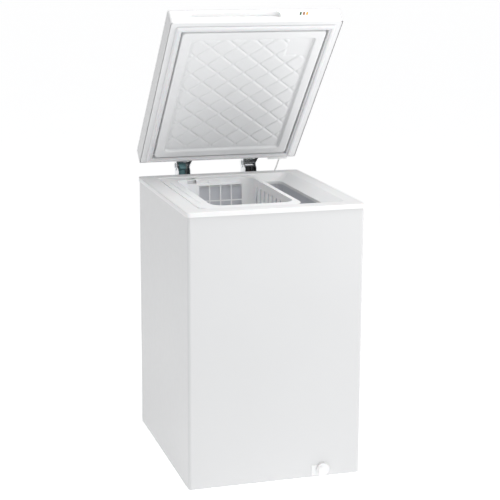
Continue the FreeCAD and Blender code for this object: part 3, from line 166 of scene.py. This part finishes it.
def smooth_line(points):
    """The points of a NURBS line through the route's control points."""
    curve = bpy.data.curves.new("route", "CURVE")
    curve.dimensions = "3D"
    spline = curve.splines.new("NURBS")
    spline.points.add(len(points) - 1)
    for control, place in zip(spline.points, points):
        control.co = (*place, 1)
    spline.order_u = 3
    spline.use_endpoint_u = True
    spline.resolution_u = 12
    holder = bpy.data.objects.new("route", curve)
    bpy.context.scene.collection.objects.link(holder)
    bpy.context.view_layer.update()
    mesh = bpy.data.meshes.new_from_object(holder)
    line = [v.co.copy() for v in mesh.vertices]
    bpy.data.objects.remove(holder)
    bpy.data.meshes.remove(mesh)
    return line


def make_cable():
    line = smooth_line(CABLE_ROUTE)
    cable = sweep_tube("lid_cable_lead", line, CABLE_DIAMETER / 2, CABLE_SIDES)
    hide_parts("lid_cable")
    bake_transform(cable)
    return cable


cable = make_cable()


# ---------------------------------------------------------------- materials
def add_node(tree, kind, inputs=None, **settings):
    node = tree.nodes.new(kind)
    for name, value in settings.items():
        setattr(node, name, value)
    for name, value in (inputs or {}).items():
        if isinstance(value, bpy.types.NodeSocket):
            tree.links.new(value, node.inputs[name])
        else:
            node.inputs[name].default_value = value
    return node


def pattern(tree, size, detail=3.0, stretch=(1, 1, 1)):
    """Noise whose features are about size metres, drawn out along the small numbers of stretch."""
    coordinates = add_node(tree, "ShaderNodeTexCoord").outputs["Object"]
    mapping = add_node(tree, "ShaderNodeMapping", {"Vector": coordinates, "Scale": stretch})
    noise = add_node(tree, "ShaderNodeTexNoise", {"Vector": mapping.outputs["Vector"], "Scale": 1 / size,
                                                   "Detail": detail, "Roughness": 0.55})
    return noise.outputs["Fac"]


def spread(tree, value, low, high, new_low, new_high):
    node = add_node(tree, "ShaderNodeMapRange", {"Value": value, "From Min": low, "From Max": high,
                                                  "To Min": new_low, "To Max": new_high})
    return node.outputs["Result"]


def mix_colour(tree, amount, first, second):
    node = add_node(tree, "ShaderNodeMix", data_type="RGBA")
    for socket, value in ((node.inputs[0], amount), (node.inputs[6], first), (node.inputs[7], second)):
        if isinstance(value, bpy.types.NodeSocket):
            tree.links.new(value, socket)
        else:
            socket.default_value = value
    return node.outputs[2]


def shade(colour, factor):
    return tuple(min(c * factor, 1.0) for c in colour) + (1.0,)


def surface(name, colour, roughness, metal=0.0, mottle=0.03, mottle_size=0.12, grain_size=0.0008,
            grain_depth=0.00002,
            wave_size=None, wave_depth=0.0, stretch=(1, 1, 1), coat=0.0, second=None, second_share=0.35,
            specular=0.5, glow=None, glow_strength=0.6, subsurface=0.0):
    """A finish with uneven colour and gloss, a fine grain and, if asked, a slow waviness."""
    material = bpy.data.materials.new(name)
    material.use_nodes = True
    tree = material.node_tree
    shader = tree.nodes["Principled BSDF"]
    slow = pattern(tree, mottle_size, 4.0, stretch)
    fine = pattern(tree, grain_size * 6, 5.0, stretch)
    base = mix_colour(tree, spread(tree, slow, 0.3, 0.7, 0.0, 1.0), shade(colour, 1 - mottle),
                      shade(colour, 1 + mottle))
    if second:
        patches = spread(tree, pattern(tree, mottle_size * 0.4, 6.0, stretch), 1 - second_share,
                         1 - second_share + 0.08,
                         0.0, 1.0)
        base = mix_colour(tree, patches, base, second + (1.0,))
    tree.links.new(base, shader.inputs["Base Color"])
    gloss = spread(tree, fine, 0.25, 0.75, max(roughness - 0.05, 0.03), roughness + 0.07)
    tree.links.new(gloss, shader.inputs["Roughness"])
    bump = add_node(tree, "ShaderNodeBump", {"Height": pattern(tree, grain_size, 2.0, stretch),
                                             "Strength": 1.0,
                                              "Distance": grain_depth})
    if wave_size:
        bump = add_node(tree, "ShaderNodeBump", {"Height": pattern(tree, wave_size, 2.0), "Strength": 1.0,
                                                  "Distance": wave_depth, "Normal": bump.outputs["Normal"]})
    tree.links.new(bump.outputs["Normal"], shader.inputs["Normal"])
    shader.inputs["Metallic"].default_value = metal
    shader.inputs["Coat Weight"].default_value = coat
    shader.inputs["Coat Roughness"].default_value = 0.12
    shader.inputs["Specular IOR Level"].default_value = specular
    if subsurface:
        shader.inputs["Subsurface Weight"].default_value = subsurface
        shader.inputs["Subsurface Scale"].default_value = 0.004
    if glow:
        shader.inputs["Emission Color"].default_value = glow + (1.0,)
        shader.inputs["Emission Strength"].default_value = glow_strength
    return material


finishes = {
    "white_steel": surface("white_steel", (0.705, 0.708, 0.712), 0.34, mottle=0.008, mottle_size=0.3,
                           grain_size=0.004,
                           grain_depth=0.00001, wave_size=0.12, wave_depth=0.0001, coat=0.15),
    "zinc_steel": surface("zinc_steel", (0.72, 0.735, 0.75), 0.24, metal=1.0, mottle=0.1, mottle_size=0.02,
                          grain_size=0.0005, grain_depth=0.00002, stretch=(1, 1, 0.12)),
    "spring_steel": surface("spring_steel", (0.50, 0.51, 0.53), 0.28, metal=1.0, mottle=0.15,
                            mottle_size=0.008,
                            grain_size=0.0003, grain_depth=0.00001),
    "black_enamel": surface("black_enamel", (0.02, 0.02, 0.022), 0.35, mottle=0.2, mottle_size=0.05,
                            grain_size=0.0012,
                            grain_depth=0.00005, coat=0.3),
    "teal_plastic": surface("teal_plastic", (0.17, 0.33, 0.35), 0.38, mottle=0.08, mottle_size=0.015),
    "black_plastic": surface("black_plastic", (0.028, 0.028, 0.03), 0.48, mottle=0.15, mottle_size=0.06,
                             grain_size=0.0006, grain_depth=0.00004),
    "rubber": surface("rubber", (0.03, 0.03, 0.03), 0.7, mottle=0.2, mottle_size=0.02, grain_size=0.0006,
                      grain_depth=0.00005),
    "foam": surface("foam", (0.72, 0.60, 0.36), 0.85, mottle=0.12, mottle_size=0.03, grain_size=0.0012,
                    grain_depth=0.0003, second=(0.62, 0.48, 0.25)),
    "liner_aluminium": surface("liner_aluminium", (0.70, 0.715, 0.75), 0.36, metal=0.25, mottle=0.03,
                               mottle_size=0.1,
                               grain_size=0.003, grain_depth=0.00008),
    "tube_aluminium": surface("tube_aluminium", (0.72, 0.73, 0.75), 0.35, metal=1.0, mottle=0.06,
                              mottle_size=0.02),
    "tube_steel": surface("tube_steel", (0.22, 0.22, 0.23), 0.5, metal=0.6, mottle=0.15, mottle_size=0.02),
    "copper": surface("copper", (0.66, 0.33, 0.20), 0.3, metal=1.0, mottle=0.12, mottle_size=0.02,
                      second=(0.36, 0.17, 0.10), second_share=0.3),
    "white_plastic": surface("white_plastic", (0.87, 0.87, 0.87), 0.42, mottle=0.01, mottle_size=0.1,
                             grain_size=0.0007,
                             grain_depth=0.00002, subsurface=0.05),
    "basket_plastic": surface("basket_plastic", (0.93, 0.933, 0.936), 0.36, mottle=0.01, mottle_size=0.06,
                              grain_size=0.0007, grain_depth=0.00002, subsurface=0.08),
    "gloss_white": surface("gloss_white", (0.9, 0.9, 0.9), 0.14, mottle=0.006, mottle_size=0.08,
                           grain_size=0.004,
                           grain_depth=0.00001, coat=0.5),
    "liner_plastic": surface("liner_plastic", (0.78, 0.784, 0.79), 0.34, mottle=0.012, mottle_size=0.08,
                             grain_size=0.0012, grain_depth=0.00002, wave_size=0.03, wave_depth=0.0001),
    "gasket_white": surface("gasket_white", (0.72, 0.725, 0.735), 0.5, mottle=0.02, mottle_size=0.05,
                            grain_size=0.0005,
                            grain_depth=0.00002, subsurface=0.1),
    "cable_white": surface("cable_white", (0.84, 0.84, 0.83), 0.45, mottle=0.02, mottle_size=0.02,
                           grain_size=0.0005,
                           grain_depth=0.00001),
    "lens_green": surface("lens_green", (0.02, 0.075, 0.025), 0.15, mottle=0.1, mottle_size=0.002, coat=0.5,
                          glow=(0.01, 0.04, 0.01)),
    "lens_amber": surface("lens_amber", (0.22, 0.07, 0.01), 0.15, mottle=0.1, mottle_size=0.002, coat=0.5,
                          glow=(0.12, 0.03, 0.0)),
    "lens_orange": surface("lens_orange", (0.75, 0.28, 0.03), 0.15, mottle=0.1, mottle_size=0.002, coat=0.5,
                           glow=(0.6, 0.2, 0.02)),
    "circuit_board": surface("circuit_board", (0.02, 0.16, 0.06), 0.35, mottle=0.15, mottle_size=0.01,
                             second=(0.05, 0.26, 0.1)),
}


def dress(piece, finish):
    piece.data.materials.clear()
    piece.data.materials.append(finishes[finish])


for part in frame["record"]["subparts"]:
    dress(nodes[part["node"]], part["material_slot"])
dress(cable, "cable_white")


# ---------------------------------------------------------------- lid liner
LINER_RADIUS = 14 * MM
FLANGE_TO_BORDER = 18 * MM
BORDER_WIDTH = 28 * MM
LINER_SHEET = 1.2 * MM
QUILT_X = 40.7 * MM
QUILT_Y = 38.0 * MM
QUILT_START_X = 39.5 * MM
QUILT_START_Y = -15.7 * MM
QUILT_CELLS = 18
PAD_HEIGHT = 3.2 * MM
PAD_BEVEL = 3.6 * MM
PAD_CORNER = 9 * MM
GROOVE_HALF = 0.7 * MM
PAD_MARGIN = 8 * MM
PATCH_WIDE = 76 * MM
PATCH_DEEP = 78 * MM
FIELD_DEPTH = 8 * MM
# inset from the flange's edge and height above the border's face, in millimetres
LINER_PROFILE = [(0, 15.1), (14.0, 15.1), (15.4, 14.9), (16.2, 14.2), (16.6, 13.0), (16.9, 10.0), (17.3, 6.0),
                 (17.7, 2.6), (18.2, 1.2), (19.1, 0.35), (20.6, 0.0), (24.0, -0.1), (31.0, -0.15), (39.0,
                                                                                                    -0.1),
                 (42.6, 0.0), (44.0, 0.3), (45.1, 1.1), (45.8, 2.4), (46.5, 4.9), (47.2, 6.5), (48.4, 7.6),
                 (50.4, 8.0)]


def even_loop(x0, x1, y0, y1, radius, across, along):
    """Points round a rounded rectangle, equal in number on facing sides, with each corner split mid arc."""
    corners = [(x0 + radius, y0 + radius), (x1 - radius, y0 + radius), (x1 - radius, y1 - radius),
               (x0 + radius, y1 - radius)]
    counts = [across, along, across, along]
    arc = radius * math.pi / 4
    points = []
    for side in range(4):
        (ax, ay), (bx, by) = corners[side], corners[(side + 1) % 4]
        straight = math.hypot(bx - ax, by - ay)
        start = math.radians(-90 + 90 * side)
        total = straight + 2 * arc
        for i in range(counts[side]):
            s = total * i / counts[side]
            if s < arc:
                turn, cx, cy = start - math.pi / 4 + s / max(radius, 1e-9), ax, ay
            elif s > arc + straight:
                turn, cx, cy = start + (s - arc - straight) / max(radius, 1e-9), bx, by
            else:
                share = (s - arc) / straight
                turn, cx, cy = start, ax + (bx - ax) * share, ay + (by - ay) * share
            points.append((cx + radius * math.cos(turn), cy + radius * math.sin(turn)))
    return points


def smooth_step(value):
    value = np.clip(value, 0, 1)
    return value * value * (3 - 2 * value)


def pad_relief(x, y, field):
    """How far the quilted field stands out at each place: pads between crossing grooves."""
    fx0, fx1, fy0, fy1 = field
    per_step = math.hypot(1 / QUILT_X, 1 / QUILT_Y)
    across = (x - QUILT_START_X) / QUILT_X
    along = (y - QUILT_START_Y) / QUILT_Y
    gaps = []
    for line in (across + along, across - along):
        gaps.append(np.abs((line + 1) % 2 - 1) / per_step - GROOVE_HALF)
    gaps.append(np.minimum(x - fx0, fx1 - x) - PAD_MARGIN)
    gaps.append(np.minimum(y - fy0, fy1 - y) - PAD_MARGIN)
    gaps.append(np.maximum(fx1 - PATCH_WIDE - x, y - fy0 - PATCH_DEEP))
    short = [np.maximum(PAD_CORNER - gap, 0) for gap in gaps]
    inside = PAD_CORNER - np.sqrt(sum(s * s for s in short))
    crown = 0.25 * (1 - np.exp(-np.maximum(inside, 0) / (14 * MM)))
    return PAD_HEIGHT * smooth_step(inside / PAD_BEVEL) * (0.85 + crown)


def make_lid_liner():
    low, high = closed_box("lid_liner")
    inset = FLANGE_TO_BORDER + BORDER_WIDTH
    field = (low.x + inset, high.x - inset, low.y + inset, high.y - inset)
    step_x, step_y = QUILT_X / QUILT_CELLS, QUILT_Y / QUILT_CELLS
    edge = LINER_PROFILE[-1][0] * MM + 1.5 * MM
    first_x = math.ceil((low.x + edge - QUILT_START_X) / step_x)
    last_x = math.floor((high.x - edge - QUILT_START_X) / step_x)
    first_y = math.ceil((low.y + edge - QUILT_START_Y) / step_y)
    last_y = math.floor((high.y - edge - QUILT_START_Y) / step_y)
    columns, rows = last_x - first_x, last_y - first_y
    xs = QUILT_START_X + step_x * np.arange(first_x, last_x + 1)
    ys = QUILT_START_Y + step_y * np.arange(first_y, last_y + 1)
    grid_x, grid_y = np.meshgrid(xs, ys)
    grid_z = low.z + FIELD_DEPTH - pad_relief(grid_x, grid_y, field)
    points = [Vector(p) for p in zip(grid_x.ravel(), grid_y.ravel(), grid_z.ravel())]
    faces = []
    wide = columns + 1
    for row in range(rows):
        for column in range(columns):
            corner = row * wide + column
            faces.append((corner, corner + wide, corner + wide + 1, corner + 1))
    rim = ([i for i in range(columns)] + [row * wide + columns for row in range(rows)]
           + [rows * wide + columns - i for i in range(columns)]
           + [(rows - row) * wide for row in range(rows)])
    around = len(rim)
    before = rim
    for inset_mm, rise_mm in reversed(LINER_PROFILE):
        inset = inset_mm * MM
        radius = max(LINER_RADIUS - inset * 0.12, 6 * MM)
        start = len(points)
        loop = even_loop(low.x + inset, high.x - inset, low.y + inset, high.y - inset, radius, columns, rows)
        points += [Vector((px, py, low.z + rise_mm * MM)) for px, py in loop]
        here = list(range(start, start + around))
        for i in range(around):
            j = (i + 1) % around
            faces.append((before[i], before[j], here[j], here[i]))
        before = here
    liner = add_mesh("lid_liner_quilted", [LID_TO_REST @ p for p in points], faces)
    thicken = liner.modifiers.new("sheet", "SOLIDIFY")
    thicken.thickness = LINER_SHEET
    thicken.offset = -1.0
    dress(liner, "liner_plastic")
    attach(liner, "lid")
    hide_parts("lid_liner")
    return liner


make_lid_liner()


# ---------------------------------------------------------------- lid seal
# distance in from the seal's outer edge and drop below the frame, in millimetres
SEAL_PROFILE = [(3.0, 0.0), (1.2, 0.5), (0.3, 1.5), (0.0, 2.8), (0.5, 4.2), (1.8, 4.9), (2.7, 5.6), (3.4,
                                                                                                     6.7),
                (4.8, 7.4), (8.0, 7.45), (10.8, 7.4), (12.2, 6.7), (12.8, 5.5), (13.4, 4.6), (14.3,
                                                                                              4.5), (15.2,
                                                                                                     5.1),
                (16.4, 5.2), (17.5, 4.4), (18.0, 3.0), (17.7, 1.4), (16.8, 0.4), (15.2, 0.0)]
SEAL_CORNER = 6 * MM
SEAL_CORNER_STEPS = 6


def corner_loop(x0, x1, y0, y1, radius, steps):
    points = []
    for cx, cy, start in ((x1 - radius, y0 + radius, -90), (x1 - radius, y1 - radius, 0),
                          (x0 + radius, y1 - radius, 90), (x0 + radius, y0 + radius, 180)):
        for i in range(steps + 1):
            turn = math.radians(start + 90 * i / steps)
            points.append((cx + radius * math.cos(turn), cy + radius * math.sin(turn)))
    return points


def make_seal():
    low, high = closed_box("lid_gasket")
    face = closed_box("lid_inner_frame")[0].z
    points = []
    for inset_mm, drop_mm in SEAL_PROFILE:
        inset = inset_mm * MM
        radius = max(SEAL_CORNER - inset, 0.6 * MM)
        loop = corner_loop(low.x + inset, high.x - inset, low.y + inset, high.y - inset, radius,
                           SEAL_CORNER_STEPS)
        points += [LID_TO_REST @ Vector((x, y, face - drop_mm * MM)) for x, y in loop]
    around = 4 * (SEAL_CORNER_STEPS + 1)
    seal = add_mesh("lid_seal", points, loop_faces(len(SEAL_PROFILE), around, closed_rows=True))
    dress(seal, "gasket_white")
    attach(seal, "lid")
    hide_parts("lid_gasket")


make_seal()


# ---------------------------------------------------------------- hinge springs
SPRING_WIRE = 2.4 * MM
SPRING_TURNS = 15
SPRING_END_TURNS = 1.25
SPRING_END_PITCH = SPRING_WIRE * 1.02
SPRING_SIDES = 10
TURN_STEPS = 24


def make_spring(side):
    """A compression spring with closed end turns, from the channel's seat to the plunger."""
    low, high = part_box("hinge_spring_" + side)
    centre = (low + high) / 2
    radius = (high.x - low.x - SPRING_WIRE) / 2
    bottom, top = low.z + SPRING_WIRE / 2, high.z - SPRING_WIRE / 2
    end_rise = SPRING_END_TURNS * SPRING_END_PITCH
    path = []
    for i in range(SPRING_TURNS * TURN_STEPS + 1):
        turns = i / TURN_STEPS
        left = SPRING_TURNS - turns
        if turns < SPRING_END_TURNS:
            z = bottom + turns * SPRING_END_PITCH
        elif left < SPRING_END_TURNS:
            z = top - left * SPRING_END_PITCH
        else:
            share = (turns - SPRING_END_TURNS) / (SPRING_TURNS - 2 * SPRING_END_TURNS)
            z = bottom + end_rise + (top - bottom - 2 * end_rise) * share
        angle = 2 * math.pi * turns
        path.append((centre.x + radius * math.cos(angle), centre.y + radius * math.sin(angle), z))
    spring = sweep_tube("hinge_spring_coil_" + side, path, SPRING_WIRE / 2, SPRING_SIDES)
    dress(spring, "spring_steel")
    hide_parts("hinge_spring_" + side)
    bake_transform(spring)


make_spring("left")
make_spring("right")


# ---------------------------------------------------------------- floor and light
FLOOR_HALF = 45.0
FLOOR_GLOW = 0.68
WORLD_COLOUR = (0.985, 0.99, 1.0, 1.0)
WORLD_STRENGTH = 0.34
WHITE_LIGHT = (1, 1, 1)
COOL_LIGHT = (0.88, 0.95, 1.0)
TANK_MOUTH = (0, 0, 0.8)
LID_MIDDLE = (0, 0.1, 1.0)


def make_floor():
    floor = add_mesh("floor", [(-FLOOR_HALF, -FLOOR_HALF, 0), (FLOOR_HALF, -FLOOR_HALF, 0),
                               (FLOOR_HALF, FLOOR_HALF, 0), (-FLOOR_HALF, FLOOR_HALF, 0)], [(0, 1, 2, 3)])
    floor.data.materials.append(surface("studio_floor", (0.93, 0.93, 0.93), 0.6, mottle=0.006,
                                        mottle_size=0.8,
                                        grain_size=0.004, grain_depth=0.00002, specular=0.2, glow=(1.0, 1.0,
                                                                                                   1.0),
                                        glow_strength=FLOOR_GLOW))


def make_world():
    world = bpy.data.worlds.new("studio")
    world.use_nodes = True
    backdrop = world.node_tree.nodes["Background"]
    backdrop.inputs["Color"].default_value = WORLD_COLOUR
    backdrop.inputs["Strength"].default_value = WORLD_STRENGTH
    bpy.context.scene.world = world


def area_light(name, place, aim, size, power, colour):
    data = bpy.data.lights.new(name, "AREA")
    data.shape = "RECTANGLE"
    data.size, data.size_y = size
    data.energy = power
    data.color = colour
    light = bpy.data.objects.new(name, data)
    light.location = place
    light.rotation_mode = "QUATERNION"
    light.rotation_quaternion = (Vector(aim) - Vector(place)).to_track_quat("-Z", "Y")
    bpy.context.scene.collection.objects.link(light)


make_floor()
make_world()
middle = (cad_low + cad_high) / 2
# name, place, point it is aimed at, width and height, watts, colour
STUDIO_LIGHTS = [
    ("key", (1.4, -3.8, 2.4), middle, (2.4, 2.0), 17, WHITE_LIGHT),
    ("fill", (-1.5, -1.7, 1.0), middle, (0.8, 1.6), 1.2, COOL_LIGHT),
    ("top", (0.1, -0.8, 2.5), TANK_MOUTH, (1.6, 1.2), 21, WHITE_LIGHT),
    ("side", (1.5, -1.0, 1.3), LID_MIDDLE, (0.5, 0.5), 9, WHITE_LIGHT),
]
for settings in STUDIO_LIGHTS:
    area_light(*settings)
bpy.context.scene.view_settings.view_transform = "Standard"
